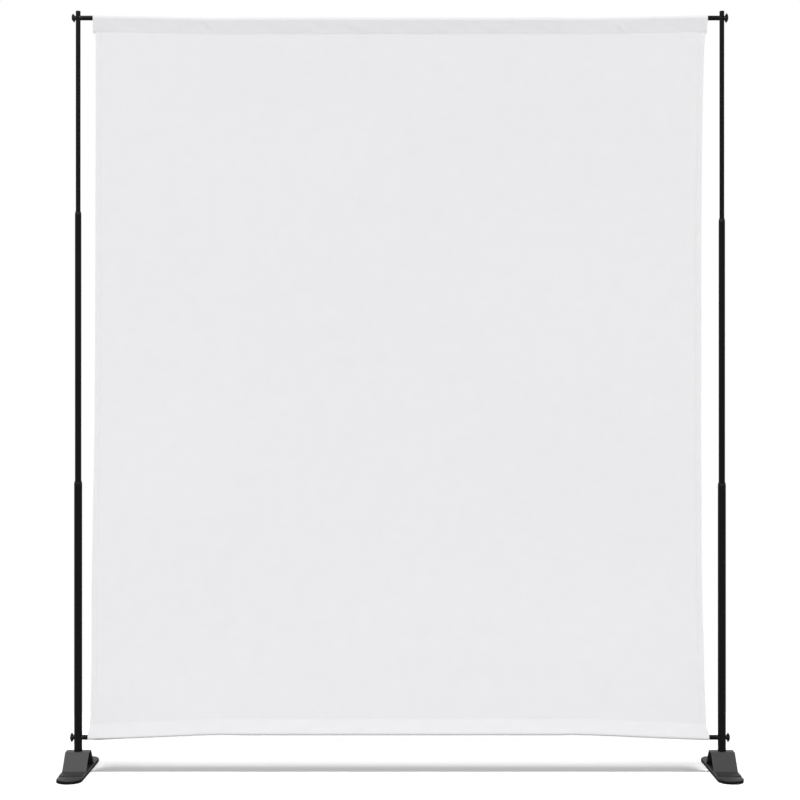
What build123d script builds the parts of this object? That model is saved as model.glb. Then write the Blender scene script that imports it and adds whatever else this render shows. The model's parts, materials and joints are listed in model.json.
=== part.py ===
from build123d import *
import math
import os

# Adjustable banner stand: two telescopic uprights on steel feet, an upper and a lower telescopic
# crossbar held by wing screws, and a cloth banner stretched between the crossbars.
# Millimetres. The origin is on the floor, midway between the uprights. +X is to the right as seen
# from the front, -Y is the front and +Z is up. The right side is drawn, and mirrored for the left.

# Overall
stand_height = 3048.0
upright_spacing = 2580.0
upper_bar_drop = 28.0
lower_bar_height = 137.0

# Upright tubes: outer diameter and wall
lower_tube_diameter = 32.0
lower_tube_wall = 1.2
middle_tube_diameter = 25.4
middle_tube_wall = 1.0
top_tube_diameter = 19.0
top_tube_wall = 1.0
lower_tube_top = {"left": 1150.0, "right": 1144.0}
middle_tube_top = {"left": 2230.0, "right": 2202.0}
middle_tube_overlap = 110.0
top_tube_overlap = 100.0

# Collars in the tube mouths
collar_sleeve = 30.0
collar_rim = 5.0
collar_taper = 9.0
collar_neck_wall = 2.0
pin_below_mouth = 8.0
pin_radius = 2.4
pin_head_radius = 3.4
pin_head_height = 0.8

# Twist locks: an eccentric journal under each inner tube and a split ring turning on it
lock_spigot = 25.0
lock_disc = 3.0
cam_height = 18.0
cam_slit = 2.5
middle_journal_radius = 8.0
middle_cam_radius = 14.0
middle_eccentricity = 1.2
top_journal_radius = 5.5
top_cam_radius = 11.0
top_eccentricity = 1.0

# Top cap
cap_head = 6.0
cap_plug = 18.0
cap_edge = 1.5

# Crossbars
end_tube_diameter = 19.0
end_tube_wall = 1.0
centre_tube_diameter = 22.2
centre_tube_wall = 1.52
centre_tube_length = 640.0
end_tube_insertion = 300.0
coupler_length = 160.0
coupler_wall = 1.5
bar_straight_end = 60.0
bar_bend_from_mouth = 115.0
bar_bend_radius = 3000.0
bar_end_bend_radius = 1200.0
upper_bar_sag = 9.0
lower_bar_rise = 20.0
saddle_length = 8.0
saddle_wrap = 5.0
plug_spigot = 25.0

# Wing screws
stud_radius = 3.0
stud_in_plug = 22.0
stud_in_knob = 10.0
knob_length = 15.0
knob_hub_radius = 8.0
knob_ear_reach = 20.5
knob_ear_peak = 8.5
knob_ear_face = 10.0
knob_ear_thickness = 5.0
knob_ear_corner = 1.6
knob_ear_edge = 1.2
knob_recess_radius = 3.6
knob_recess_depth = 1.5
upper_knob_turn = {"left": 45.0, "right": 20.0}
lower_knob_turn = {"left": 0.0, "right": 0.0}

# Feet
foot_length = 440.0
foot_width = 100.0
foot_corner = 49.0
foot_top = 14.0
foot_rim_clear = 2.0
foot_edge = 4.5
foot_wall = 2.0
bridge_width = 95.0
bridge_sheet = 3.0
bridge_height = 82.0
bridge_top_depth = 44.0
bridge_slope_foot = 160.0
bridge_flange_end = 290.0
bridge_top_bend = 4.5
bridge_foot_bend = 14.5
rivet_across = 60.0
rivet_along = 250.0
rivet_radius = 2.5
rivet_head_radius = 5.0
rivet_head_depth = 1.6
rivet_crown = 0.6
pad_radius = 11.0
pad_across = 66.0
pad_along = 336.0
pad_chamfer = 1.0
foot_bolt_radius = 5.0
foot_bolt_flats = 17.0
foot_bolt_head = 6.4
foot_bolt_reach = 26.0
washer_radius = 10.5
washer_thickness = 2.0
tube_plug_length = 32.0

# Banner
banner_thickness = 0.8
banner_side_gap = 64.0
pocket_depth = 64.0
banner_edge_waist = {"left": 6.0, "right": 20.0}
banner_edge_flare = {"left": 19.0, "right": 12.0}

# Clearances, all radial or face to face
press_fit = 0.02
running_fit = 0.06
hole_fit = 0.3
seat_gap = 0.1
lock_gap = 0.05
sliding_fit = 0.08
cloth_gap = 0.5

sides = ("left", "right")
upright_x = upright_spacing / 2
upper_bar_height = stand_height - upper_bar_drop
banner_half_width = upright_x - banner_side_gap
lower_tube_radius = lower_tube_diameter / 2
middle_tube_radius = middle_tube_diameter / 2
top_tube_radius = top_tube_diameter / 2
lower_tube_bore = lower_tube_radius - lower_tube_wall
middle_tube_bore = middle_tube_radius - middle_tube_wall
top_tube_bore = top_tube_radius - top_tube_wall
end_tube_radius = end_tube_diameter / 2
end_tube_bore = end_tube_radius - end_tube_wall
centre_tube_radius = centre_tube_diameter / 2
centre_tube_bore = centre_tube_radius - centre_tube_wall

os.makedirs("parts", exist_ok=True)


def rod(radius, low, high, x=0.0, y=0.0):
    """An upright cylinder between two heights."""
    return Pos(x, y, low) * Cylinder(radius, high - low, align=(Align.CENTER, Align.CENTER, Align.MIN))


def pipe(radius, bore, low, high):
    return rod(radius, low, high) - rod(bore, low, high)


def cross_rod(radius, x_from, x_to, z):
    """A cylinder lying along X."""
    start = Plane(origin=(x_from, 0, z), x_dir=(0, 1, 0), z_dir=(1, 0, 0))
    return extrude(start * Circle(radius), x_to - x_from)


def front_rod(radius, y_from, y_to, z):
    """A cylinder lying along Y."""
    start = Plane(origin=(0, y_from, z), x_dir=(1, 0, 0), z_dir=(0, 1, 0))
    return extrude(start * Circle(radius), y_to - y_from)


def on_side(side, shape):
    """Moves a piece drawn about the upright's own axis to its side, with its outer face outward."""
    right = Pos(upright_x, 0, 0) * shape
    return right if side == "right" else mirror(right, about=Plane.YZ)


def across_bar(side, shape):
    """A crossbar piece is drawn on the right half of the whole stand."""
    return shape if side == "right" else mirror(shape, about=Plane.YZ)


def save(name, shape):
    solids = shape.solids()
    whole = solids[0] if len(solids) == 1 else Compound(children=list(solids))
    export_step(whole, f"parts/{name}.step")


# Foot


def foot_base():
    outer = extrude(RectangleRounded(foot_width, foot_length, foot_corner), foot_top - foot_rim_clear)
    outer = fillet(outer.faces().sort_by(Axis.Z)[-1].edges(), foot_edge)
    inner_width = foot_width - 2 * foot_wall
    inner_length = foot_length - 2 * foot_wall
    inner_shape = RectangleRounded(inner_width, inner_length, foot_corner - foot_wall)
    inner = extrude(inner_shape, foot_top - foot_rim_clear - foot_wall)
    inner = fillet(inner.faces().sort_by(Axis.Z)[-1].edges(), foot_edge - foot_wall)
    tray = Pos(0, 0, foot_rim_clear) * (outer - inner)
    tray -= rod(foot_bolt_radius + hole_fit, 0, foot_top)
    for x, y in rivet_places():
        tray -= rod(rivet_radius + running_fit, 0, foot_top, x, y)
    return tray


def rivet_places():
    return [(i * rivet_across / 2, j * rivet_along / 2) for i in (-1, 1) for j in (-1, 1)]


def foot_bridge():
    middle = foot_top + bridge_sheet / 2
    crest = bridge_height - bridge_sheet / 2
    points = [
        (0, -bridge_flange_end / 2, middle),
        (0, -bridge_slope_foot / 2, middle),
        (0, -bridge_top_depth / 2, crest),
        (0, bridge_top_depth / 2, crest),
        (0, bridge_slope_foot / 2, middle),
        (0, bridge_flange_end / 2, middle),
    ]
    bends = [bridge_foot_bend, bridge_top_bend, bridge_top_bend, bridge_foot_bend]
    path = FilletPolyline(*points, radius=bends)
    section = Plane(origin=points[0], x_dir=(1, 0, 0), z_dir=(0, 1, 0)) * Rectangle(bridge_width, bridge_sheet)
    bridge = sweep(section, path=path)
    bridge -= rod(lower_tube_radius + hole_fit, foot_top + bridge_sheet, bridge_height + bridge_sheet)
    for x, y in rivet_places():
        bridge -= rivet_shank(x, y, running_fit)
    return bridge


def rivet_shank(x, y, extra):
    """The rivet's shank and countersunk head, wider by extra where it is a hole."""
    top = foot_top + bridge_sheet
    sink = Pos(x, y, top - rivet_head_depth / 2) * Cone(
        rivet_radius + extra, rivet_head_radius + extra, rivet_head_depth
    )
    return rod(rivet_radius + extra, foot_top - foot_wall, top, x, y) + sink


def foot_rivets():
    top = foot_top + bridge_sheet
    under = foot_top - foot_wall
    rivets = []
    for x, y in rivet_places():
        crown = rod(rivet_head_radius, top, top + rivet_crown, x, y)
        tail = rod(rivet_head_radius, under - rivet_head_depth, under, x, y)
        rivets += (rivet_shank(x, y, 0) + crown + tail).solids()
    return Compound(children=rivets)


def foot_pads():
    pads = []
    for i in (-1, 1):
        for j in (-1, 1):
            pad = rod(pad_radius, 0, foot_top - foot_wall, i * pad_across / 2, j * pad_along / 2)
            pads += chamfer(pad.faces().sort_by(Axis.Z)[0].edges(), pad_chamfer).solids()
    return Compound(children=pads)


def foot_washer():
    top = foot_top - foot_wall
    return rod(washer_radius, top - washer_thickness, top) - rod(
        foot_bolt_radius + running_fit, top - washer_thickness, top
    )


def foot_bolt():
    seat = foot_top - foot_wall - washer_thickness
    head_shape = RegularPolygon(foot_bolt_flats / 2, 6, major_radius=False)
    head = Pos(0, 0, seat - foot_bolt_head) * extrude(head_shape, foot_bolt_head)
    shank = rod(foot_bolt_radius, seat, foot_top + foot_bolt_reach)
    return head + chamfer(shank.edges().sort_by(Axis.Z)[-1], foot_bolt_radius / 5)


def tube_plug():
    body = rod(lower_tube_bore - press_fit, foot_top, foot_top + tube_plug_length)
    return body - rod(foot_bolt_radius + running_fit, foot_top, foot_top + tube_plug_length)


# Upright


def lower_tube(side):
    top = lower_tube_top[side]
    tube = pipe(lower_tube_radius, lower_tube_bore, foot_top, top)
    tube -= cross_rod(stud_radius + hole_fit, -lower_tube_diameter, lower_tube_diameter, lower_bar_height)
    return tube - front_rod(pin_radius + running_fit, -lower_tube_diameter, 0, top - pin_below_mouth)


def middle_tube(side):
    bottom = lower_tube_top[side] - middle_tube_overlap
    return pipe(middle_tube_radius, middle_tube_bore, bottom, middle_tube_top[side])


def top_tube(side):
    bottom = middle_tube_top[side] - top_tube_overlap
    tube = pipe(top_tube_radius, top_tube_bore, bottom, stand_height - cap_head)
    return tube - cross_rod(stud_radius + hole_fit, -top_tube_diameter, top_tube_diameter, upper_bar_height)


def collar(mouth, outer, bore, inner):
    """A guide bush: a sleeve in the outer tube, a rim on its mouth and a neck round the inner tube."""
    hole = inner + sliding_fit
    neck = inner + sliding_fit + collar_neck_wall
    profile = Polyline(
        (hole, mouth - collar_sleeve),
        (bore - press_fit, mouth - collar_sleeve),
        (bore - press_fit, mouth),
        (outer, mouth),
        (outer, mouth + collar_rim),
        (neck, mouth + collar_rim + collar_taper / 2),
        (neck, mouth + collar_rim + collar_taper),
        (hole, mouth + collar_rim + collar_taper),
        close=True,
    )
    face = make_face(Plane.XZ * profile)
    return revolve(face, Axis.Z, 360)


def lower_collar(side):
    mouth = lower_tube_top[side]
    bush = collar(mouth, lower_tube_radius, lower_tube_bore, middle_tube_radius)
    return bush - front_rod(pin_radius + running_fit, -lower_tube_radius, 0, mouth - pin_below_mouth)


def middle_collar(side):
    return collar(middle_tube_top[side], middle_tube_radius, middle_tube_bore, top_tube_radius)


def collar_pin(side):
    """The pin that holds the lower bush in its tube, with its head on the front."""
    height = lower_tube_top[side] - pin_below_mouth
    shank = front_rod(pin_radius, -lower_tube_radius, -(middle_tube_radius + hole_fit), height)
    return shank + front_rod(pin_head_radius, -lower_tube_radius - pin_head_height, -lower_tube_radius, height)


def lock_core(bottom, outer, bore, journal, eccentricity):
    """The plug in an inner tube's foot, with an off-centre journal under it and an end disc."""
    disc_low = bottom - lock_disc
    journal_low = disc_low - cam_height - 2 * seat_gap
    core = rod(bore - press_fit, bottom, bottom + lock_spigot)
    core += rod(outer, disc_low, bottom)
    core += rod(journal, journal_low, disc_low, eccentricity)
    return core + rod(outer, journal_low - lock_disc, journal_low)


def lock_turn(tube_bore, cam_radius, eccentricity):
    """Degrees from free, where ring and tube are concentric, to locked, where the ring bears on the tube."""
    offset = tube_bore - lock_gap - cam_radius
    return 2 * math.degrees(math.asin(offset / (2 * eccentricity)))


def lock_cam(bottom, tube_bore, journal, cam_radius, eccentricity):
    turn = math.radians(lock_turn(tube_bore, cam_radius, eccentricity))
    high = bottom - lock_disc - seat_gap
    low = high - cam_height
    x = eccentricity * (1 - math.cos(turn))
    y = -eccentricity * math.sin(turn)
    ring = rod(cam_radius, low, high, x, y) - rod(journal + running_fit, low, high, eccentricity)
    slit = Pos(eccentricity, 0, low) * Rot(0, 0, math.degrees(turn)) * Box(
        2 * cam_radius, cam_slit, cam_height, align=(Align.MAX, Align.CENTER, Align.MIN)
    )
    return ring - slit


def top_cap():
    seat = stand_height - cap_head
    head = rod(top_tube_radius, seat, stand_height)
    head = fillet(head.faces().sort_by(Axis.Z)[-1].edges(), cap_edge)
    return head + rod(top_tube_bore - press_fit, seat - cap_plug, seat)


# Wing screws


def wing_knob(tube_radius, height, turn):
    """A moulded knob: a hub with two flat ears and a sink in its outer face."""
    start = tube_radius + seat_gap
    end = start + knob_length
    ear = Polyline(
        (start + 1, 0),
        (start + 1, knob_hub_radius),
        (start + knob_ear_peak, knob_ear_reach),
        (end, knob_ear_face),
        (end, -knob_ear_face),
        (start + knob_ear_peak, -knob_ear_reach),
        (start + 1, -knob_hub_radius),
        close=True,
    )
    plate = make_face(ear)
    plate = fillet(plate.vertices().filter_by(lambda v: abs(v.Y) > knob_hub_radius), knob_ear_corner)
    wings = extrude(Plane.XZ * plate, knob_ear_thickness / 2, both=True)
    wings = fillet(wings.edges().filter_by(GeomType.LINE).filter_by(Plane.XZ), knob_ear_edge)
    knob = wings + cross_rod(knob_hub_radius, start, end, 0)
    knob -= cross_rod(knob_recess_radius, end - knob_recess_depth, end, 0)
    knob -= cross_rod(stud_radius + press_fit, start, start + stud_in_knob, 0)
    return Pos(0, 0, height) * Rot(turn, 0, 0) * knob


def wing_stud(tube_radius, height):
    inner_end = -(tube_radius + stud_in_plug)
    return cross_rod(stud_radius, inner_end, tube_radius + seat_gap + stud_in_knob, height)


# Crossbars


def end_plug(tube_radius, height):
    """The plug in a crossbar's end, hollowed to seat on the upright, with the screw's thread in it."""
    mouth = tube_radius + saddle_length
    plug = cross_rod(end_tube_radius, -mouth, -saddle_wrap, height)
    plug += cross_rod(end_tube_bore - press_fit, -mouth - plug_spigot, -mouth, height)
    plug -= rod(tube_radius + hole_fit, height - 2 * end_tube_diameter, height + 2 * end_tube_diameter)
    return plug - cross_rod(stud_radius + running_fit, -mouth - plug_spigot, 0, height)


def bar_axis(end_x, end_z, middle_z, inner_x):
    """The bent line of a crossbar from its centre tube out to the upright."""
    bend_x = centre_tube_length + bar_bend_from_mouth
    points = [
        (inner_x, 0, middle_z),
        (bend_x, 0, middle_z),
        (end_x - bar_straight_end, 0, end_z),
        (end_x, 0, end_z),
    ]
    return FilletPolyline(*points, radius=[bar_bend_radius, bar_end_bend_radius])


def end_tube(tube_radius, end_z, middle_z):
    end_x = upright_x - tube_radius - saddle_length
    path = bar_axis(end_x, end_z, middle_z, centre_tube_length - end_tube_insertion)
    start = Plane(origin=path @ 0, x_dir=(0, 1, 0), z_dir=path % 0)
    ring = Circle(end_tube_radius) - Circle(end_tube_bore)
    return sweep(start * ring, path=path)


def centre_tube(middle_z):
    outer = cross_rod(centre_tube_radius, 0, centre_tube_length, middle_z)
    return outer - cross_rod(centre_tube_bore, 0, centre_tube_length, middle_z)


def centre_coupler(middle_z):
    half = coupler_length / 2
    outer = cross_rod(centre_tube_bore - press_fit, -half, half, middle_z)
    return outer - cross_rod(centre_tube_bore - press_fit - coupler_wall, -half, half, middle_z)


# Banner


def pocket_outline(radius, seam):
    """A drop shape: an arc over the bar and two straight sides that meet at the seam."""
    lean = math.asin(radius / abs(seam))
    sign = -1 if seam > 0 else 1
    side_x = radius * math.cos(lean)
    side_y = -sign * radius * math.sin(lean)
    arc = ThreePointArc((-side_x, side_y), (0, sign * radius), (side_x, side_y))
    return make_face(arc + Polyline((side_x, side_y), (0, seam), (-side_x, side_y)))


def pocket(end_z, middle_z, sign):
    """The sleeve round a crossbar, with its seam towards the middle of the banner."""
    bend_x = centre_tube_length + bar_bend_from_mouth
    path = FilletPolyline(
        (-banner_half_width, 0, end_z),
        (-bend_x, 0, middle_z),
        (bend_x, 0, middle_z),
        (banner_half_width, 0, end_z),
        radius=bar_bend_radius,
    )
    inner_radius = centre_tube_radius + cloth_gap
    inner_seam = sign * (pocket_depth - inner_radius)
    outer_radius = inner_radius + banner_thickness
    outer_seam = inner_seam * outer_radius / inner_radius
    section = pocket_outline(outer_radius, outer_seam) - pocket_outline(inner_radius, inner_seam)
    start = Plane(origin=path @ 0, x_dir=(0, 1, 0), z_dir=path % 0)
    return sweep(start * section, path=path), (abs(inner_seam) + abs(outer_seam)) / 2


def banner():
    upper_middle = upper_bar_height - upper_bar_sag
    lower_middle = lower_bar_height + lower_bar_rise
    upper_pocket, upper_seam = pocket(upper_bar_height, upper_middle, -1)
    lower_pocket, lower_seam = pocket(lower_bar_height, lower_middle, 1)
    bend_x = centre_tube_length + bar_bend_from_mouth
    half = banner_half_width
    high = upper_bar_height - upper_seam
    low = lower_bar_height + lower_seam
    middle = (high + low) / 2
    top = Polyline(
        (-half, high),
        (-bend_x, upper_middle - upper_seam),
        (bend_x, upper_middle - upper_seam),
        (half, high),
    )
    bottom = Polyline(
        (-half - banner_edge_flare["left"], low),
        (-bend_x, lower_middle + lower_seam),
        (bend_x, lower_middle + lower_seam),
        (half + banner_edge_flare["right"], low),
    )
    left = ThreePointArc(top @ 0, (-half + banner_edge_waist["left"], middle), bottom @ 0)
    right = ThreePointArc(top @ 1, (half - banner_edge_waist["right"], middle), bottom @ 1)
    sheet = extrude(Plane.XZ * make_face(top + bottom + left + right), banner_thickness / 2, both=True)
    return sheet + upper_pocket + lower_pocket


# Writing the pieces

for side in sides:
    save(f"{side}_foot_base", on_side(side, foot_base()))
    save(f"{side}_foot_bridge", on_side(side, foot_bridge()))
    save(f"{side}_foot_rivets", on_side(side, foot_rivets()))
    save(f"{side}_foot_pads", on_side(side, foot_pads()))
    save(f"{side}_foot_washer", on_side(side, foot_washer()))
    save(f"{side}_foot_bolt", on_side(side, foot_bolt()))
    save(f"{side}_tube_plug", on_side(side, tube_plug()))

    save(f"{side}_lower_tube", on_side(side, lower_tube(side)))
    save(f"{side}_middle_tube", on_side(side, middle_tube(side)))
    save(f"{side}_top_tube", on_side(side, top_tube(side)))
    save(f"{side}_top_cap", on_side(side, top_cap()))
    save(f"{side}_lower_collar", on_side(side, lower_collar(side)))
    save(f"{side}_middle_collar", on_side(side, middle_collar(side)))
    save(f"{side}_lower_collar_pin", on_side(side, collar_pin(side)))

    middle_foot = lower_tube_top[side] - middle_tube_overlap
    top_foot = middle_tube_top[side] - top_tube_overlap
    middle_core = lock_core(
        middle_foot, middle_tube_radius, middle_tube_bore, middle_journal_radius, middle_eccentricity
    )
    middle_cam = lock_cam(
        middle_foot, lower_tube_bore, middle_journal_radius, middle_cam_radius, middle_eccentricity
    )
    top_core = lock_core(top_foot, top_tube_radius, top_tube_bore, top_journal_radius, top_eccentricity)
    top_cam = lock_cam(top_foot, middle_tube_bore, top_journal_radius, top_cam_radius, top_eccentricity)
    save(f"{side}_middle_lock_core", on_side(side, middle_core))
    save(f"{side}_middle_lock_cam", on_side(side, middle_cam))
    save(f"{side}_top_lock_core", on_side(side, top_core))
    save(f"{side}_top_lock_cam", on_side(side, top_cam))

    upper_turn = upper_knob_turn[side]
    lower_turn = lower_knob_turn[side]
    save(f"{side}_upper_wing_knob", on_side(side, wing_knob(top_tube_radius, upper_bar_height, upper_turn)))
    save(f"{side}_upper_wing_stud", on_side(side, wing_stud(top_tube_radius, upper_bar_height)))
    save(f"{side}_lower_wing_knob", on_side(side, wing_knob(lower_tube_radius, lower_bar_height, lower_turn)))
    save(f"{side}_lower_wing_stud", on_side(side, wing_stud(lower_tube_radius, lower_bar_height)))

bars = (
    ("upper", top_tube_radius, upper_bar_height, upper_bar_height - upper_bar_sag),
    ("lower", lower_tube_radius, lower_bar_height, lower_bar_height + lower_bar_rise),
)
for level, tube_radius, end_z, middle_z in bars:
    for side in sides:
        save(f"{level}_{side}_end_plug", on_side(side, end_plug(tube_radius, end_z)))
        save(f"{level}_{side}_end_tube", across_bar(side, end_tube(tube_radius, end_z, middle_z)))
        save(f"{level}_{side}_centre_tube", across_bar(side, centre_tube(middle_z)))
    save(f"{level}_centre_coupler", centre_coupler(middle_z))

save("banner", banner())

middle_lock_turn = lock_turn(lower_tube_bore, middle_cam_radius, middle_eccentricity)
top_lock_turn = lock_turn(middle_tube_bore, top_cam_radius, top_eccentricity)
print(f"middle lock turns {middle_lock_turn:.2f} degrees about {upright_x + middle_eccentricity:.2f} mm")
print(f"top lock turns {top_lock_turn:.2f} degrees about {upright_x + top_eccentricity:.2f} mm")
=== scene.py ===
import bpy
import json
import math
import numpy as np
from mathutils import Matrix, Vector


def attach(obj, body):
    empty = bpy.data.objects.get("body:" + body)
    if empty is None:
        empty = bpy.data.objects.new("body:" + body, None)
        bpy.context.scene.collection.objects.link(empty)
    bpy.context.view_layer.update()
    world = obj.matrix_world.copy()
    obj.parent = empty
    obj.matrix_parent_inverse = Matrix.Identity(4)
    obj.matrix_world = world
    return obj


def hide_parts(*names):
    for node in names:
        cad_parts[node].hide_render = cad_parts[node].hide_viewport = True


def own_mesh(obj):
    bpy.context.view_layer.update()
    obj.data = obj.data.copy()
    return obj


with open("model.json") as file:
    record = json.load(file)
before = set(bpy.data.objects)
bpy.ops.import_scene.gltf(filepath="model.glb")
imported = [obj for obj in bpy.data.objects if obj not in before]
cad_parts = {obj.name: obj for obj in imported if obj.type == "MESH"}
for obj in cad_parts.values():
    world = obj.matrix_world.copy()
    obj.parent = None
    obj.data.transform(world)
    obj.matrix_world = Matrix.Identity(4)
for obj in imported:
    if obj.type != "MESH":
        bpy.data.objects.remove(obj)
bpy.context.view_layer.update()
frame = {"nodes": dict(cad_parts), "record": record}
nodes = frame["nodes"]
print("frame loaded:", len(nodes), "parts")

# Metres, with the floor at z = 0 and the front towards -Y, as in the frame.
mm = 0.001


# Small helpers

def toLinear(hexColour):
    parts = [int(hexColour[i:i + 2], 16) / 255 for i in (1, 3, 5)]
    return [p / 12.92 if p <= 0.04045 else ((p + 0.055) / 1.055) ** 2.4 for p in parts] + [1.0]


def addNode(tree, kind, settings=None, links=None):
    # settings holds sockets by name or number and the node's own options,
    # links holds what feeds a socket
    node = tree.nodes.new(kind)
    for key, value in (settings or {}).items():
        if isinstance(key, int) or key in node.inputs:
            node.inputs[key].default_value = value
        else:
            setattr(node, key, value)
    for key, source in (links or {}).items():
        tree.links.new(source, node.inputs[key])
    return node


def newMaterial(name):
    # the material, its nodes, and the output that says where on the object a point is, in metres
    made = bpy.data.materials.new(name)
    made.use_nodes = True
    made.node_tree.nodes.clear()
    return made, made.node_tree, addNode(made.node_tree, "ShaderNodeTexCoord").outputs["Object"]


def perMetre(sizeMm):
    # a texture's scale for a pattern whose grains are sizeMm across
    return 1000 / sizeMm


def smoothLine(points, at):
    # a soft curve through a few measured points (where, value)
    xs, ys = np.array(points, float).T
    slopes = np.gradient(ys, xs)
    i = np.clip(np.searchsorted(xs, at) - 1, 0, len(xs) - 2)
    step = xs[i + 1] - xs[i]
    t = np.clip((at - xs[i]) / step, 0, 1)
    start = (2 * t ** 3 - 3 * t ** 2 + 1) * ys[i] + (t ** 3 - 2 * t ** 2 + t) * step * slopes[i]
    return start + (3 * t ** 2 - 2 * t ** 3) * ys[i + 1] + (t ** 3 - t ** 2) * step * slopes[i + 1]


def ease(t):
    t = np.clip(t, 0, 1)
    return t * t * (3 - 2 * t)


def bump(t):
    # a soft ridge, 1 at t = 0 and gone by t = 1 either way
    return ease(1 - np.abs(t))


def meshObject(name, vertices, faces, material):
    mesh = bpy.data.meshes.new(name)
    mesh.from_pydata(vertices, [], faces)
    mesh.polygons.foreach_set("use_smooth", [True] * len(faces))
    mesh.materials.append(material)
    mesh.update()
    made = bpy.data.objects.new(name, mesh)
    bpy.context.scene.collection.objects.link(made)
    return made


def gridMesh(name, x, y, z, material):
    # a sheet from arrays of rows and columns
    rows, columns = x.shape
    points = np.stack([x, y, z], axis=-1).reshape(-1, 3)
    first = (np.arange(rows - 1)[:, None] * columns + np.arange(columns - 1)).ravel()
    faces = np.stack([first, first + 1, first + columns + 1, first + columns], axis=1)
    return meshObject(name, points.tolist(), faces.tolist(), material)


# Camera, as the photograph was taken: level, at half the stand's height

camera = {"place": (0.0, -6.365, 1.489), "lens": 71.46, "sensor": 36.0}
cameraData = bpy.data.cameras.new("camera")
cameraData.lens = camera["lens"]
cameraData.sensor_width = camera["sensor"]
cameraData.clip_end = 200
cameraObject = bpy.data.objects.new("camera", cameraData)
cameraObject.location = camera["place"]
cameraObject.rotation_euler = (math.radians(90), 0, 0)
bpy.context.scene.collection.objects.link(cameraObject)
bpy.context.scene.camera = cameraObject
print("camera set")


# Materials of the frame

powderCoat = {
    "tube": "#0a0a0b",
    "tubeLight": "#111112",
    "orangePeelMm": 2.4,
    "driftMm": 160,
}


def makePowderCoat():
    # Semi-gloss black powder coat, baked on steel tube: nearly black, with the faint
    # pebbling that a melted powder keeps, which breaks up its highlights.
    m, t, place = newMaterial("powderCoatedSteelTube")
    peel = addNode(t, "ShaderNodeTexNoise",
                   {"Scale": perMetre(powderCoat["orangePeelMm"]), "Detail": 2.0, "Roughness": 0.5},
                   {"Vector": place})
    drift = addNode(t, "ShaderNodeTexNoise",
                    {"Scale": perMetre(powderCoat["driftMm"]), "Detail": 3.0},
                    {"Vector": place})
    colour = addNode(t, "ShaderNodeMix",
                     {"data_type": "RGBA", 6: toLinear(powderCoat["tube"]),
                      7: toLinear(powderCoat["tubeLight"])},
                     {0: drift.outputs["Fac"]})
    rough = addNode(t, "ShaderNodeMapRange", {"To Min": 0.33, "To Max": 0.43},
                    {"Value": peel.outputs["Fac"]})
    relief = addNode(t, "ShaderNodeBump", {"Strength": 0.12, "Distance": 0.1 * mm},
                     {"Height": peel.outputs["Fac"]})
    skin = addNode(t, "ShaderNodeBsdfPrincipled",
                   {"IOR": 1.5, "Specular IOR Level": 0.05},
                   {"Base Color": colour.outputs[2], "Roughness": rough.outputs["Result"],
                    "Normal": relief.outputs["Normal"]})
    addNode(t, "ShaderNodeOutputMaterial", None, {"Surface": skin.outputs["BSDF"]})
    return m


footCoat = {
    "base": "#1e1e1e",
    "light": "#262626",
    "rubbed": "#3d3d3e",
    "grainMm": 1.6,
    "driftMm": 45,
}


def makeFootCoat():
    # Satin black powder coat on pressed steel: black, with a soft shine that turns charcoal under
    # a lamp, a fine grain, and a little greyer where edges are rubbed.
    m, t, place = newMaterial("satinPowderCoatOnPressedSteel")
    form = addNode(t, "ShaderNodeNewGeometry")
    grain = addNode(t, "ShaderNodeTexNoise",
                    {"Scale": perMetre(footCoat["grainMm"]), "Detail": 3.0, "Roughness": 0.6},
                    {"Vector": place})
    drift = addNode(t, "ShaderNodeTexNoise",
                    {"Scale": perMetre(footCoat["driftMm"]), "Detail": 4.0, "Roughness": 0.6},
                    {"Vector": place})
    colour = addNode(t, "ShaderNodeMix",
                     {"data_type": "RGBA", 6: toLinear(footCoat["base"]),
                      7: toLinear(footCoat["light"])},
                     {0: drift.outputs["Fac"]})
    edge = addNode(t, "ShaderNodeMapRange", {"From Min": 0.52, "From Max": 0.62, "To Max": 0.6},
                   {"Value": form.outputs["Pointiness"]})
    worn = addNode(t, "ShaderNodeMix", {"data_type": "RGBA", 7: toLinear(footCoat["rubbed"])},
                   {0: edge.outputs["Result"], 6: colour.outputs[2]})
    rough = addNode(t, "ShaderNodeMapRange", {"To Min": 0.44, "To Max": 0.54},
                    {"Value": grain.outputs["Fac"]})
    relief = addNode(t, "ShaderNodeBump", {"Strength": 0.2, "Distance": 0.1 * mm},
                     {"Height": grain.outputs["Fac"]})
    skin = addNode(t, "ShaderNodeBsdfPrincipled",
                   {"IOR": 1.5, "Specular IOR Level": 0.16},
                   {"Base Color": worn.outputs[2], "Roughness": rough.outputs["Result"],
                    "Normal": relief.outputs["Normal"]})
    addNode(t, "ShaderNodeOutputMaterial", None, {"Surface": skin.outputs["BSDF"]})
    return m


nylon = {
    "black": ("#0c0c0d", "#161617"),
    "natural": ("#cfccbf", "#dedbd0"),
    "sparkMm": 0.8,
    "flowMm": 14,
}


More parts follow.
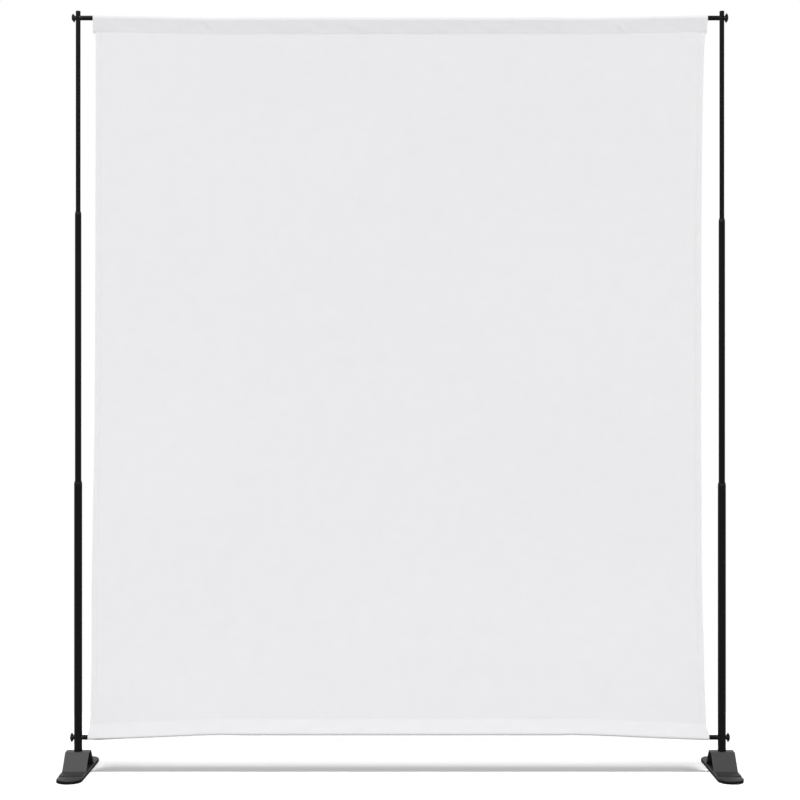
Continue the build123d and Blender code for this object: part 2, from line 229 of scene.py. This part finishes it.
def makeNylon(name, shades, roughness, specular):
    # Injection-moulded nylon: an even colour with slow flow marks and the fine
    # spark-eroded grain of its mould, which keeps the highlights soft.
    m, t, place = newMaterial(name)
    flow = addNode(t, "ShaderNodeTexNoise",
                   {"Scale": perMetre(nylon["flowMm"]), "Detail": 3.0, "Distortion": 0.8},
                   {"Vector": place})
    grain = addNode(t, "ShaderNodeTexNoise", {"Scale": perMetre(nylon["sparkMm"]), "Detail": 2.0},
                    {"Vector": place})
    colour = addNode(t, "ShaderNodeMix",
                     {"data_type": "RGBA", 6: toLinear(shades[0]), 7: toLinear(shades[1])},
                     {0: flow.outputs["Fac"]})
    rough = addNode(t, "ShaderNodeMapRange",
                    {"To Min": roughness - 0.05, "To Max": roughness + 0.07},
                    {"Value": grain.outputs["Fac"]})
    relief = addNode(t, "ShaderNodeBump", {"Strength": 0.3, "Distance": 0.06 * mm},
                     {"Height": grain.outputs["Fac"]})
    skin = addNode(t, "ShaderNodeBsdfPrincipled",
                   {"IOR": 1.53, "Specular IOR Level": specular},
                   {"Base Color": colour.outputs[2], "Roughness": rough.outputs["Result"],
                    "Normal": relief.outputs["Normal"]})
    addNode(t, "ShaderNodeOutputMaterial", None, {"Surface": skin.outputs["BSDF"]})
    return m


zinc = {"bright": "#c4c5c3", "dull": "#a3a6a8", "spangleMm": 5, "scratchMm": 0.9}


def makeZinc():
    # Bright zinc plating on steel: cool grey metal with slow cloudy patches from
    # the bath and fine scratches that spread its reflections.
    m, t, place = newMaterial("zincPlatedSteel")
    cloud = addNode(t, "ShaderNodeTexNoise", {"Scale": perMetre(zinc["spangleMm"]), "Detail": 4.0},
                    {"Vector": place})
    scratch = addNode(t, "ShaderNodeTexNoise",
                      {"Scale": perMetre(zinc["scratchMm"]), "Detail": 2.0},
                      {"Vector": place})
    colour = addNode(t, "ShaderNodeMix",
                     {"data_type": "RGBA", 6: toLinear(zinc["dull"]), 7: toLinear(zinc["bright"])},
                     {0: cloud.outputs["Fac"]})
    rough = addNode(t, "ShaderNodeMapRange", {"To Min": 0.24, "To Max": 0.42},
                    {"Value": scratch.outputs["Fac"]})
    skin = addNode(t, "ShaderNodeBsdfPrincipled", {"Metallic": 1.0},
                   {"Base Color": colour.outputs[2], "Roughness": rough.outputs["Result"]})
    addNode(t, "ShaderNodeOutputMaterial", None, {"Surface": skin.outputs["BSDF"]})
    return m


rubber = {"base": "#0b0b0b", "bloom": "#151515", "bloomMm": 9, "grainMm": 1.2}


def makeRubber():
    # Compression-moulded rubber: dull black with a dusty grey bloom and almost no shine.
    m, t, place = newMaterial("mouldedRubber")
    bloom = addNode(t, "ShaderNodeTexNoise", {"Scale": perMetre(rubber["bloomMm"]), "Detail": 4.0},
                    {"Vector": place})
    grain = addNode(t, "ShaderNodeTexNoise", {"Scale": perMetre(rubber["grainMm"]), "Detail": 2.0},
                    {"Vector": place})
    colour = addNode(t, "ShaderNodeMix",
                     {"data_type": "RGBA", 6: toLinear(rubber["base"]),
                      7: toLinear(rubber["bloom"])},
                     {0: bloom.outputs["Fac"]})
    relief = addNode(t, "ShaderNodeBump", {"Strength": 0.4, "Distance": 0.1 * mm},
                     {"Height": grain.outputs["Fac"]})
    skin = addNode(t, "ShaderNodeBsdfPrincipled",
                   {"Roughness": 0.8, "IOR": 1.52, "Specular IOR Level": 0.06},
                   {"Base Color": colour.outputs[2], "Normal": relief.outputs["Normal"]})
    addNode(t, "ShaderNodeOutputMaterial", None, {"Surface": skin.outputs["BSDF"]})
    return m


knit = {
    "base": "#eeeeef",
    "shade": "#eaeaeb",
    "courseMm": 9.0,   # real courses are 0.6 mm, drawn this coarse so that they show
    "mottleMm": 60,
    "fuzzMm": 1.5,
}


def makeKnit():
    # White warp-knitted polyester: matte and faintly cool, with fine upright ribs,
    # a soft fuzz that glows at grazing angles, and slight cloudiness from uneven yarn.
    m, t, place = newMaterial("polyesterKnit")
    split = addNode(t, "ShaderNodeSeparateXYZ", None, {"Vector": place})
    # the ribs run up the cloth, and every second one is set half a stitch higher
    turns = 2 * math.pi * perMetre(knit["courseMm"])
    across = addNode(t, "ShaderNodeMath", {"operation": "MULTIPLY", 1: turns},
                     {0: split.outputs["X"]})
    along = addNode(t, "ShaderNodeMath", {"operation": "MULTIPLY", 1: turns},
                    {0: split.outputs["Z"]})
    ribs = addNode(t, "ShaderNodeMath", {"operation": "SINE"}, {0: across.outputs["Value"]})
    stitches = addNode(t, "ShaderNodeMath", {"operation": "SINE"}, {0: along.outputs["Value"]})
    fuzz = addNode(t, "ShaderNodeTexNoise", {"Scale": perMetre(knit["fuzzMm"]), "Detail": 2.0},
                   {"Vector": place})
    loops = addNode(t, "ShaderNodeMath", {"operation": "MULTIPLY"},
                    {0: ribs.outputs["Value"], 1: stitches.outputs["Value"]})
    height = addNode(t, "ShaderNodeMath", {"operation": "MULTIPLY_ADD", 1: 0.5},
                     {0: fuzz.outputs["Fac"], 2: loops.outputs["Value"]})
    mottle = addNode(t, "ShaderNodeTexNoise", {"Scale": perMetre(knit["mottleMm"]), "Detail": 4.0},
                     {"Vector": place})
    colour = addNode(t, "ShaderNodeMix",
                     {"data_type": "RGBA", 6: toLinear(knit["shade"]), 7: toLinear(knit["base"])},
                     {0: mottle.outputs["Fac"]})
    relief = addNode(t, "ShaderNodeBump", {"Strength": 0.12, "Distance": 0.15 * mm},
                     {"Height": height.outputs["Value"]})
    skin = addNode(t, "ShaderNodeBsdfPrincipled",
                   {"Roughness": 0.88, "IOR": 1.5, "Specular IOR Level": 0.2, "Sheen Weight": 0.08,
                    "Sheen Roughness": 0.5},
                   {"Base Color": colour.outputs[2], "Normal": relief.outputs["Normal"]})
    addNode(t, "ShaderNodeOutputMaterial", None, {"Surface": skin.outputs["BSDF"]})
    return m


thread = {"base": "#eeeeef", "shade": "#e6e6e8", "twistMm": 1.2}


def makeThread():
    # Spun polyester sewing thread: a little glossier and greyer than the knit, with its twist.
    m, t, place = newMaterial("polyesterThread")
    twist = addNode(t, "ShaderNodeTexNoise", {"Scale": perMetre(thread["twistMm"]), "Detail": 1.0},
                    {"Vector": place})
    colour = addNode(t, "ShaderNodeMix",
                     {"data_type": "RGBA", 6: toLinear(thread["shade"]),
                      7: toLinear(thread["base"])},
                     {0: twist.outputs["Fac"]})
    skin = addNode(t, "ShaderNodeBsdfPrincipled",
                   {"Roughness": 0.6, "IOR": 1.5, "Specular IOR Level": 0.4},
                   {"Base Color": colour.outputs[2]})
    addNode(t, "ShaderNodeOutputMaterial", None, {"Surface": skin.outputs["BSDF"]})
    return m


tubeCoat = makePowderCoat()
pressedCoat = makeFootCoat()
blackNylon = makeNylon("mouldedBlackNylon", nylon["black"], 0.42, 0.08)
naturalNylon = makeNylon("mouldedNaturalNylon", nylon["natural"], 0.4, 0.5)
zincPlate = makeZinc()
footRubber = makeRubber()
clothKnit = makeKnit()
seamThread = makeThread()

slotMaterials = {
    "powder_coat": tubeCoat,
    "foot_paint": pressedCoat,
    "black_plastic": blackNylon,
    "nylon": naturalNylon,
    "zinc": zincPlate,
    "rubber": footRubber,
    "cloth": clothKnit,
}
for part in frame["record"]["subparts"]:
    shown = nodes[part["node"]]
    shown.data.materials.clear()
    shown.data.materials.append(slotMaterials[part["material_slot"]])
print("materials made:", len(slotMaterials) + 1)


# Banner: one knitted sheet with a pocket turned over at its top and bottom. It is made in four
# pieces, so that each can follow the part of the uprights that it hangs on.

banner = {
    "cut": (2.438, 3.048),    # flat width and height before any cloth is turned over
    "half": 1.226,            # half the hung width, before the sides' own lines pull it in
    # the bars' middle lines, as (place across, height), the same to the left and the right
    "axis": {"upper": [(0.0, 3.011), (0.755, 3.011), (1.2125, 3.020), (1.30, 3.020)],
             "lower": [(0.0, 0.157), (0.755, 0.157), (1.206, 0.137), (1.30, 0.137)]},
    "barBend": {"upper": 0.03, "lower": 0.066},   # how far to each side of a bend it is curved
    "centreTube": (0.640, 0.0111),   # where its mouth is, and its radius
    "endTube": 0.0095,
    "clothOnBar": 0.0007,
    # more room at the lower right, where the bent tube slides: from where, over how far, how much
    "slideRoom": (0.66, 0.08, 0.0011),
    "seamDrop": 0.0524,       # from the bar's middle to the pocket's seam
    "split": 1.55,            # the height where the two panels meet
    "tuck": 0.024,            # how far a panel runs on inside its pocket
    "seamFront": {"upper": 0.0002, "lower": 0.0046},   # how far before the bars the seams hang
    "backGap": 0.0006,        # how far behind the panel the pocket's back layer hangs
    "lip": 0.003,             # cloth below the seam, in front
    "turned": 0.012,          # and behind
    "hemLine": 0.019,         # from the side edge to its sewn line
    "hemDent": (0.006, 0.0011),      # how far from that line the cloth dips, and how deep
    "hemStitches": (0.215, 2.944),   # the heights where the line of stitches starts and ends
    "hemStrip": (0.212, 2.962),      # and the turned cloth behind it
    # the sides' lines, as (height, place across)
    "leftEdge": [(0.20, -1.2410), (0.30, -1.2382), (0.48, -1.2358), (0.70, -1.2358),
                 (0.90, -1.2330), (1.10, -1.2296), (1.30, -1.2258), (1.60, -1.2232),
                 (2.00, -1.2218), (2.30, -1.2206), (2.70, -1.2196), (2.98, -1.2200)],
    "rightEdge": [(0.20, 1.2262), (0.30, 1.2216), (0.50, 1.2168), (0.70, 1.2118),
                  (0.90, 1.2094), (1.10, 1.2086), (1.30, 1.2070), (1.60, 1.2076),
                  (2.00, 1.2078), (2.30, 1.2090), (2.58, 1.2118), (2.80, 1.2166),
                  (2.90, 1.2200), (2.98, 1.2256)],
    "billow": 0.003,
    "hold": (0.21, 2.96, 0.5),       # the seams' heights, and how far from them it is free
    "forward": (0.9, 0.65),          # below this height it runs forward, over this far
}


def barAxis(level, x):
    # the height of a bar's middle, with its bends rounded
    spread = banner["barBend"][level]
    places, heights = np.array(banner["axis"][level]).T
    steps = np.linspace(-spread, spread, 9)
    return np.mean([np.interp(np.abs(x + s), places, heights) for s in steps], axis=0)


def barRadius(x):
    # the pocket steps down softly from the centre tubes to the end tubes
    mouth, wide = banner["centreTube"]
    step = ease((mouth + 0.035 - np.abs(x)) / 0.035)
    return banner["endTube"] + (wide - banner["endTube"]) * step


waves = np.random.default_rng(11)
slowWaves = [(waves.uniform(0.5, 2.3), waves.uniform(0.4, 2.0),
              waves.uniform(0, 6.28), waves.uniform(0, 6.28)) for _ in range(9)]


def billow(x, z):
    # slow unevenness of a sheet held only at its top and bottom, nothing at the bars
    total = sum(np.sin(2 * math.pi * x / (1.1 * a + 0.5) + p)
                * np.cos(2 * math.pi * z / (1.3 * b + 0.5) + q) for a, b, p, q in slowWaves)
    foot, top, over = banner["hold"]
    hold = ease((z - foot) / over) * ease((top - z) / over)
    return banner["billow"] * total / 3 * hold


def hangY(x, z):
    # the sheet runs a little forward at its foot, to the front of the lower bar
    forward = banner["seamFront"]["lower"] - banner["backGap"]
    start, over = banner["forward"]
    return -billow(x, z) - forward * ease((start - z) / over)


# Where the sewn cloth draws: small slanting folds below the upper bar. Each has its
# place across, its length down, its slant and how far it stands out.
draws = [
    {"x": -0.882, "top": 3.012, "long": 0.045, "lean": 0.25, "wide": 0.012, "deep": 0.0022},
    {"x": -0.800, "top": 3.008, "long": 0.055, "lean": 0.65, "wide": 0.014, "deep": -0.0030},
    {"x": -0.772, "top": 3.012, "long": 0.050, "lean": 0.40, "wide": 0.012, "deep": 0.0032},
    {"x": -0.180, "top": 3.010, "long": 0.040, "lean": -0.30, "wide": 0.012, "deep": 0.0020},
    {"x": 0.862, "top": 3.010, "long": 0.055, "lean": 0.80, "wide": 0.014, "deep": 0.0034},
    {"x": 0.892, "top": 3.008, "long": 0.050, "lean": 0.60, "wide": 0.012, "deep": -0.0024},
]
smallDraws = np.random.default_rng(5)
for _ in range(34):
    draws.append({
        "x": smallDraws.uniform(-1.2, 1.2), "top": smallDraws.uniform(2.985, 3.012),
        "long": smallDraws.uniform(0.02, 0.05), "lean": smallDraws.uniform(-0.5, 0.5),
        "wide": smallDraws.uniform(0.008, 0.02), "deep": smallDraws.uniform(-0.0010, 0.0010),
    })


def drawn(x, z):
    total = np.zeros_like(x)
    for fold in draws:
        down = (fold["top"] - z) / fold["long"]
        middle = fold["x"] + fold["lean"] * (fold["top"] - z)
        total += fold["deep"] * bump((x - middle) / fold["wide"]) * bump(2 * down - 1)
    return total


def acrossSteps(left, right):
    # columns: close together at the side hems, wider in the middle
    fine = np.array([0, 2, 5, 9, 13, 15.5, 17.5, 19, 20.5, 22.5, 25, 30, 38, 50, 66]) * mm
    middle = np.linspace(left + 0.085, right - 0.085, 236)
    return np.concatenate([left + fine, middle, (right - fine)[::-1]])


def hemDent(x, left, right):
    # the sewn line of the side hem sits a little deeper than the cloth on each side of it
    line = banner["hemLine"]
    wide, deep = banner["hemDent"]
    return deep * (bump((x - left - line) / wide) + bump((right - line - x) / wide))


def makePanel(name, low, high, rows):
    # low and high give the panel's bottom and top edge at each place across
    half = banner["half"]
    flatX = acrossSteps(-half, half)
    v = np.linspace(0, 1, rows)[:, None]
    bottom, top = low(flatX), high(flatX)
    z = bottom + v * (top - bottom)
    left = smoothLine(banner["leftEdge"], z)
    right = smoothLine(banner["rightEdge"], z)
    # the edges keep their hems' true width, and the middle stretches
    x = (flatX + (left + half) * ease(-flatX / 1.10 + 0.02)
         + (right - half) * ease(flatX / 1.10 + 0.02))
    y = hangY(x, z) + hemDent(x, left, right)
    return gridMesh(name, x, y, z, clothKnit)


def upperEdge(x):
    return barAxis("upper", x) - banner["seamDrop"] + banner["tuck"]


def middleEdge(x):
    return np.full_like(x, banner["split"])


def lowerEdge(x):
    return barAxis("lower", x) + banner["seamDrop"] - banner["tuck"]


upperPanel = makePanel("upperPanel", middleEdge, upperEdge, 130)
lowerPanel = makePanel("lowerPanel", lowerEdge, middleEdge, 124)
print("panels made")

pocketEnds = {
    # how far across each end reaches at the bar, and at the seam
    "upper": {"left": (-1.2300, -1.2305), "right": (1.2325, 1.2300)},
    "lower": {"left": (-1.2505, -1.2425), "right": (1.2380, 1.2275)},
}


def makePocket(name, level, turn):
    # The cloth goes up the front from the seam, round the bar and down the back to the seam.
    # turn is 1 for the upper pocket, whose bar is above its seam, and -1 for the lower one.
    half = banner["half"]
    flatX = acrossSteps(-half, half)
    axis = barAxis(level, flatX)
    radius = barRadius(flatX) + banner["clothOnBar"]
    if level == "lower":
        start, over, room = banner["slideRoom"]
        radius = radius + room * ease((flatX - start) / over)
    drop = banner["seamDrop"]
    lean = np.arcsin(radius / drop)
    # along the profile: straight front, arc over the bar, straight back
    frontRows, arcRows = 14, 16
    lip, back = banner["lip"], banner["backGap"]
    front = banner["seamFront"][level]
    ys, zs = [], []
    touchY, touchZ = radius * np.cos(lean), -radius * np.sin(lean)
    for s in np.linspace(0, 1, frontRows)[:-1]:
        reach = -drop - lip + s * (touchZ + drop + lip)
        ys.append(-(front + (touchY - front) * s))
        zs.append(reach)
    for s in np.linspace(0, 1, arcRows):
        angle = math.pi + lean - s * (math.pi + 2 * lean)
        ys.append(radius * np.cos(angle))
        zs.append(radius * np.sin(angle))
    for s in np.linspace(0, 1, frontRows)[1:]:
        ys.append(back + (touchY - back) * (1 - s))
        zs.append(touchZ + s * (-drop - banner["turned"] - touchZ))
    y = np.array(ys)
    z = np.array(zs)
    depth = np.clip(-z / drop, 0, 1)          # 0 at the bar, 1 at the seam
    leftEnds, rightEnds = pocketEnds[level]["left"], pocketEnds[level]["right"]
    left = leftEnds[0] + (leftEnds[1] - leftEnds[0]) * ease(depth)
    right = rightEnds[0] + (rightEnds[1] - rightEnds[0]) * ease(depth)
    inner, over = 0.9, 0.326                  # the ends reach in or out from here on
    x = (flatX + (left + half) * ease((-flatX - inner) / over)
         + (right - half) * ease((flatX - inner) / over))
    heights = axis + turn * z
    side = np.sign(y)
    loose = ease(depth * 1.6) * ease((1 - depth) * 3)
    if turn > 0:
        y = y + side * 0.9 * drawn(x, heights) * ease(depth * 3 + 0.2)
    # small unevenness where the pocket isn't held by the bar
    ripple = np.sin(x * 41 + 2 * z / drop) * np.sin(x * 17 + 1.3) * 0.0007
    y = y + side * loose * ripple
    return gridMesh(name, x, y, heights, clothKnit)


upperPocket = makePocket("upperPocket", "upper", 1)
lowerPocket = makePocket("lowerPocket", "lower", -1)
print("pockets made")


stitch = {"long": 0.0055, "gap": 0.0035, "thick": 0.0004}


def makeStitches(name, points):
    # a row of short stitches along a line of points, lying on the front of the cloth
    long, gap, thick = stitch["long"], stitch["gap"], stitch["thick"]
    steps = np.linalg.norm(np.diff(points, axis=0), axis=1)
    along = np.concatenate([[0], np.cumsum(steps)])
    starts = np.arange(gap, along[-1] - long, long + gap)
    vertices, faces = [], []
    for start in starts:
        ends = [np.array([np.interp(start + s * long, along, points[:, k]) for k in range(3)])
                for s in (0, 0.18, 0.5, 0.82, 1)]
        line = ends[-1] - ends[0]
        line /= np.linalg.norm(line)
        out = np.array([0, -1, 0.0])
        wide = np.cross(line, out)
        first = len(vertices)
        rises, sizes = (-0.4, 0.4, 0.6, 0.4, -0.4), (0.5, 0.9, 1.0, 0.9, 0.5)
        for point, rise, size in zip(ends, rises, sizes):
            for corner in range(6):
                a = corner * math.pi / 3
                offset = (wide * math.cos(a) + out * (math.sin(a) * 0.7 + rise)) * thick * size
                vertices.append((point + offset).tolist())
        for ring in range(4):
            for corner in range(6):
                a, b = first + ring * 6 + corner, first + ring * 6 + (corner + 1) % 6
                faces.append((a, b, b + 6, a + 6))
        faces.append(tuple(first + i for i in reversed(range(6))))
        faces.append(tuple(first + 24 + i for i in range(6)))
    return meshObject(name, vertices, faces, seamThread)


def seamRow(name, level, turn):
    # a row of stitches along a pocket's seam, on the front
    ends = pocketEnds[level]
    xs = np.linspace(ends["left"][1] + 0.006, ends["right"][1] - 0.006, 200)
    zs = barAxis(level, xs) - turn * banner["seamDrop"]
    front = banner["seamFront"][level]
    rise = (banner["endTube"] - front) / banner["seamDrop"] * banner["lip"]
    path = np.stack([xs, np.full_like(xs, -(front + rise)), zs], axis=1)
    return makeStitches(name, path)


def hemRow(name, edge, inward, low, high):
    zs = np.linspace(low, high, 160)
    xs = smoothLine(banner[edge], zs) + inward * banner["hemLine"]
    ys = hangY(xs, zs) + 0.0009
    return makeStitches(name, np.stack([xs, ys, zs], axis=1))


upperSeam = seamRow("upperSeamStitches", "upper", 1)
lowerSeam = seamRow("lowerSeamStitches", "lower", -1)
split = banner["split"]
foot, top = banner["hemStitches"]
hemRows = {
    "upperLeftHemStitches": ("leftEdge", 1, split, top),
    "upperRightHemStitches": ("rightEdge", -1, split, top),
    "lowerLeftHemStitches": ("leftEdge", 1, foot, split),
    "lowerRightHemStitches": ("rightEdge", -1, foot, split),
}
hems = {name: hemRow(name, *values) for name, values in hemRows.items()}


def makeHemStrip(name, edge, inward, low, high):
    # the turned side hem, a second layer on the back of the cloth
    zs = np.linspace(low, high, 160)[:, None]
    widths = np.array([0.0, 0.3, 3, 9, 15, 19, 21, 21.6]) * mm
    stand = np.array([0.1, 0.7, 1.1, 1.1, 1.0, 0.8, 0.9, 0.3]) * mm
    xs = smoothLine(banner[edge], zs) + inward * widths
    ys = hangY(xs, zs + 0 * xs) + stand
    return gridMesh(name, xs, ys, zs + 0 * xs, clothKnit)


foot, top = banner["hemStrip"]
stripRows = {
    "upperLeftHem": ("leftEdge", 1, split, top),
    "upperRightHem": ("rightEdge", -1, split, top),
    "lowerLeftHem": ("leftEdge", 1, foot, split),
    "lowerRightHem": ("rightEdge", -1, foot, split),
}
strips = {name: makeHemStrip(name, *values) for name, values in stripRows.items()}
print("seams and hems made")


# Feet: black rubber edging pushed round the plate. Its black is painted shade, standing in for the
# shade on the plate's edge wall

shadeEdging = {
    "width": 0.100, "length": 0.440, "corner": 0.049,   # the plate's outline
    "low": 0.0012, "high": 0.0112,
    "thick": 0.0006,
    "centres": {"left": -1.290, "right": 1.290},
}


def makeShadeEdging(side):
    e = shadeEdging
    halfWide, halfLong, corner = e["width"] / 2, e["length"] / 2, e["corner"]
    outline = []
    for turn, (sx, sy) in enumerate(((1, 1), (-1, 1), (-1, -1), (1, -1))):
        for step in range(25):
            a = math.radians(90 * turn + 90 * step / 24)
            centre = (sx * (halfWide - corner), sy * (halfLong - corner))
            outline.append(centre + (math.cos(a), math.sin(a)))
    # a lip over the plate's rounded edge, a bulging wall, and a turned-in foot
    middle, tall = (e["low"] + e["high"]) / 2, (e["high"] - e["low"]) / 2
    profile = [(-0.0040, e["high"] + 0.0012), (-0.0024, e["high"] + 0.0016)]
    for step in range(9):
        a = math.radians(75 - 150 * step / 8)
        profile.append((e["thick"] * math.cos(a) - 0.0002, middle + tall * math.sin(a)))
    profile += [(-0.0012, e["low"] - 0.0002), (-0.0030, e["low"] + 0.0004)]
    vertices = []
    for cx, cy, nx, ny in outline:
        for out, z in profile:
            reach = corner + out
            vertices.append((e["centres"][side] + cx + nx * reach, cy + ny * reach, z))
    rows, columns = len(outline), len(profile)
    faces = []
    for i in range(rows):
        a, b = i * columns, (i + 1) % rows * columns
        for j in range(columns):
            k = (j + 1) % columns
            faces.append((a + j, a + k, b + k, b + j))
    # the edging's black rubber darkens the plate's edge wall as painted shade
    made = meshObject(side + "FootShadeEdging", vertices, faces, footRubber)
    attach(made, side + "_base")
    return made


shadeEdgings = [makeShadeEdging(side) for side in ("left", "right")]
print("foot edging made")


# What each piece of the banner moves with


trims = {level: [made for name, made in {**hems, **strips}.items() if name.startswith(level)]
         for level in ("upper", "lower")}
for piece in [upperPanel] + trims["upper"]:
    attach(piece, "left_middle")
    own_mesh(piece)
for piece in [lowerPanel] + trims["lower"]:
    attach(piece, "left_base")
    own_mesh(piece)
for piece, body in ((upperPocket, "left_top"), (upperSeam, "left_top"),
                    (lowerPocket, "left_base"), (lowerSeam, "left_base")):
    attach(piece, body)
sheets = [upperPocket, lowerPocket, upperPanel, lowerPanel]
for piece in sheets:
    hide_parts("banner")

print("banner follows the uprights")


# Studio: a white floor that keeps the stand's shadow, a white room and soft lamps

studio = {
    "floor": "#b9b9ba",
    "floorBounce": "#838385",
    "floorGlow": 0.06,
    "fill": 0.50,
    "floorReach": ((-6.0, -9.0), (6.0, 1.2)),
}


def seenItself(tree):
    # 1 where the camera, a reflection or a clear surface shows it, 0 where it only gives light
    ray = addNode(tree, "ShaderNodeLightPath")
    seen = addNode(tree, "ShaderNodeMath", {"operation": "MAXIMUM"},
                   {0: ray.outputs["Is Camera Ray"], 1: ray.outputs["Is Glossy Ray"]})
    anySeen = addNode(tree, "ShaderNodeMath", {"operation": "MAXIMUM"},
                      {0: seen.outputs["Value"], 1: ray.outputs["Is Transmission Ray"]})
    return anySeen.outputs["Value"]


def makeFloor():
    # Matt white vinyl backdrop. It glows a little for the camera and for reflections, so that
    # it reads as white, and keeps the shadows that fall on it.
    m, t, place = newMaterial("mattWhiteVinyl")
    grain = addNode(t, "ShaderNodeTexNoise", {"Scale": perMetre(3), "Detail": 3.0},
                    {"Vector": place})
    relief = addNode(t, "ShaderNodeBump", {"Strength": 0.05, "Distance": 0.2 * mm},
                     {"Height": grain.outputs["Fac"]})
    seen = seenItself(t)
    shade = addNode(t, "ShaderNodeMix",
                    {"data_type": "RGBA", 6: toLinear(studio["floorBounce"]),
                     7: toLinear(studio["floor"])},
                    {0: seen})
    skin = addNode(t, "ShaderNodeBsdfDiffuse", None,
                   {"Color": shade.outputs[2], "Normal": relief.outputs["Normal"]})
    strength = addNode(t, "ShaderNodeMath", {"operation": "MULTIPLY", 1: studio["floorGlow"]},
                       {0: seen})
    glow = addNode(t, "ShaderNodeEmission", {"Color": (1, 1, 1, 1)},
                   {"Strength": strength.outputs["Value"]})
    both = addNode(t, "ShaderNodeAddShader", None,
                   {0: skin.outputs["BSDF"], 1: glow.outputs["Emission"]})
    addNode(t, "ShaderNodeOutputMaterial", None, {"Surface": both.outputs["Shader"]})
    return m


(nearX, nearY), (farX, farY) = studio["floorReach"]
floorMesh = bpy.data.meshes.new("floor")
floorCorners = [(nearX, nearY, 0), (farX, nearY, 0), (farX, farY, 0), (nearX, farY, 0)]
floorMesh.from_pydata(floorCorners, [], [(0, 1, 2, 3)])
floorMesh.materials.append(makeFloor())
floor = bpy.data.objects.new("floor", floorMesh)
bpy.context.scene.collection.objects.link(floor)

room = bpy.data.worlds.new("room")
room.use_nodes = True
room.node_tree.nodes.clear()
bpy.context.scene.world = room
roomTree = room.node_tree
strength = addNode(roomTree, "ShaderNodeMapRange", {"To Min": studio["fill"], "To Max": 1.0},
                   {"Value": seenItself(roomTree)})
sky = addNode(roomTree, "ShaderNodeBackground", {"Color": (1, 1, 1, 1)},
              {"Strength": strength.outputs["Result"]})
addNode(roomTree, "ShaderNodeOutputWorld", None, {"Surface": sky.outputs["Background"]})


def addLamp(name, place, target, size, watts):
    data = bpy.data.lights.new(name, "AREA")
    data.shape = "RECTANGLE"
    data.size, data.size_y = size
    data.energy = watts
    lamp = bpy.data.objects.new(name, data)
    lamp.location = place
    lamp.rotation_mode = "QUATERNION"
    lamp.rotation_quaternion = (Vector(target) - Vector(place)).to_track_quat("-Z", "Y")
    bpy.context.scene.collection.objects.link(lamp)
    return lamp


# each lamp's place, what it points at, its size and its watts
lamps = {
    "leftLamp": ((-5.5, -4.0, 2.6), (0, 0, 1.5), (2.0, 4.0), 24),
    "rightLamp": ((5.5, -4.0, 2.6), (0, 0, 1.5), (2.0, 4.0), 18),
}
for name, (place, target, size, watts) in lamps.items():
    addLamp(name, place, target, size, watts)


def addSun(name, fromFront, up, softness, strength):
    # a far lamp: how steeply it comes down, from the front, and how wide it looks
    data = bpy.data.lights.new(name, "SUN")
    data.angle = math.radians(softness)
    data.energy = strength
    lamp = bpy.data.objects.new(name, data)
    lamp.rotation_mode = "QUATERNION"
    lamp.rotation_quaternion = Vector((0, fromFront, -up)).to_track_quat("-Z", "Y")
    bpy.context.scene.collection.objects.link(lamp)
    return lamp


def lightsOnly(lamp, shown):
    only = bpy.data.collections.new(lamp.name + "Lights")
    for item in shown:
        only.objects.link(item)
    lamp.light_linking.receiver_collection = only


addSun("keySun", math.cos(math.radians(42)), math.sin(math.radians(42)), 20, 1.74)

# a lamp straight above draws the banner's thin soft shadow on the floor, and lights nothing else
floorSun = addSun("floorSun", math.tan(math.radians(2.1)), 1.0, 3.0, 4.6)
lightsOnly(floorSun, [floor])

# a wide ceiling softbox shines on the black tubes and feet alone
ceiling = addLamp("ceilingSoftbox", (-1.3, -1.0, 4.6), (-1.3, -1.0, 0), (4.5, 1.7), 180)
lightsOnly(ceiling, [nodes[name] for name in nodes if name != "banner"] + shadeEdgings)

bpy.context.scene.view_settings.view_transform = "Standard"
print("studio set")
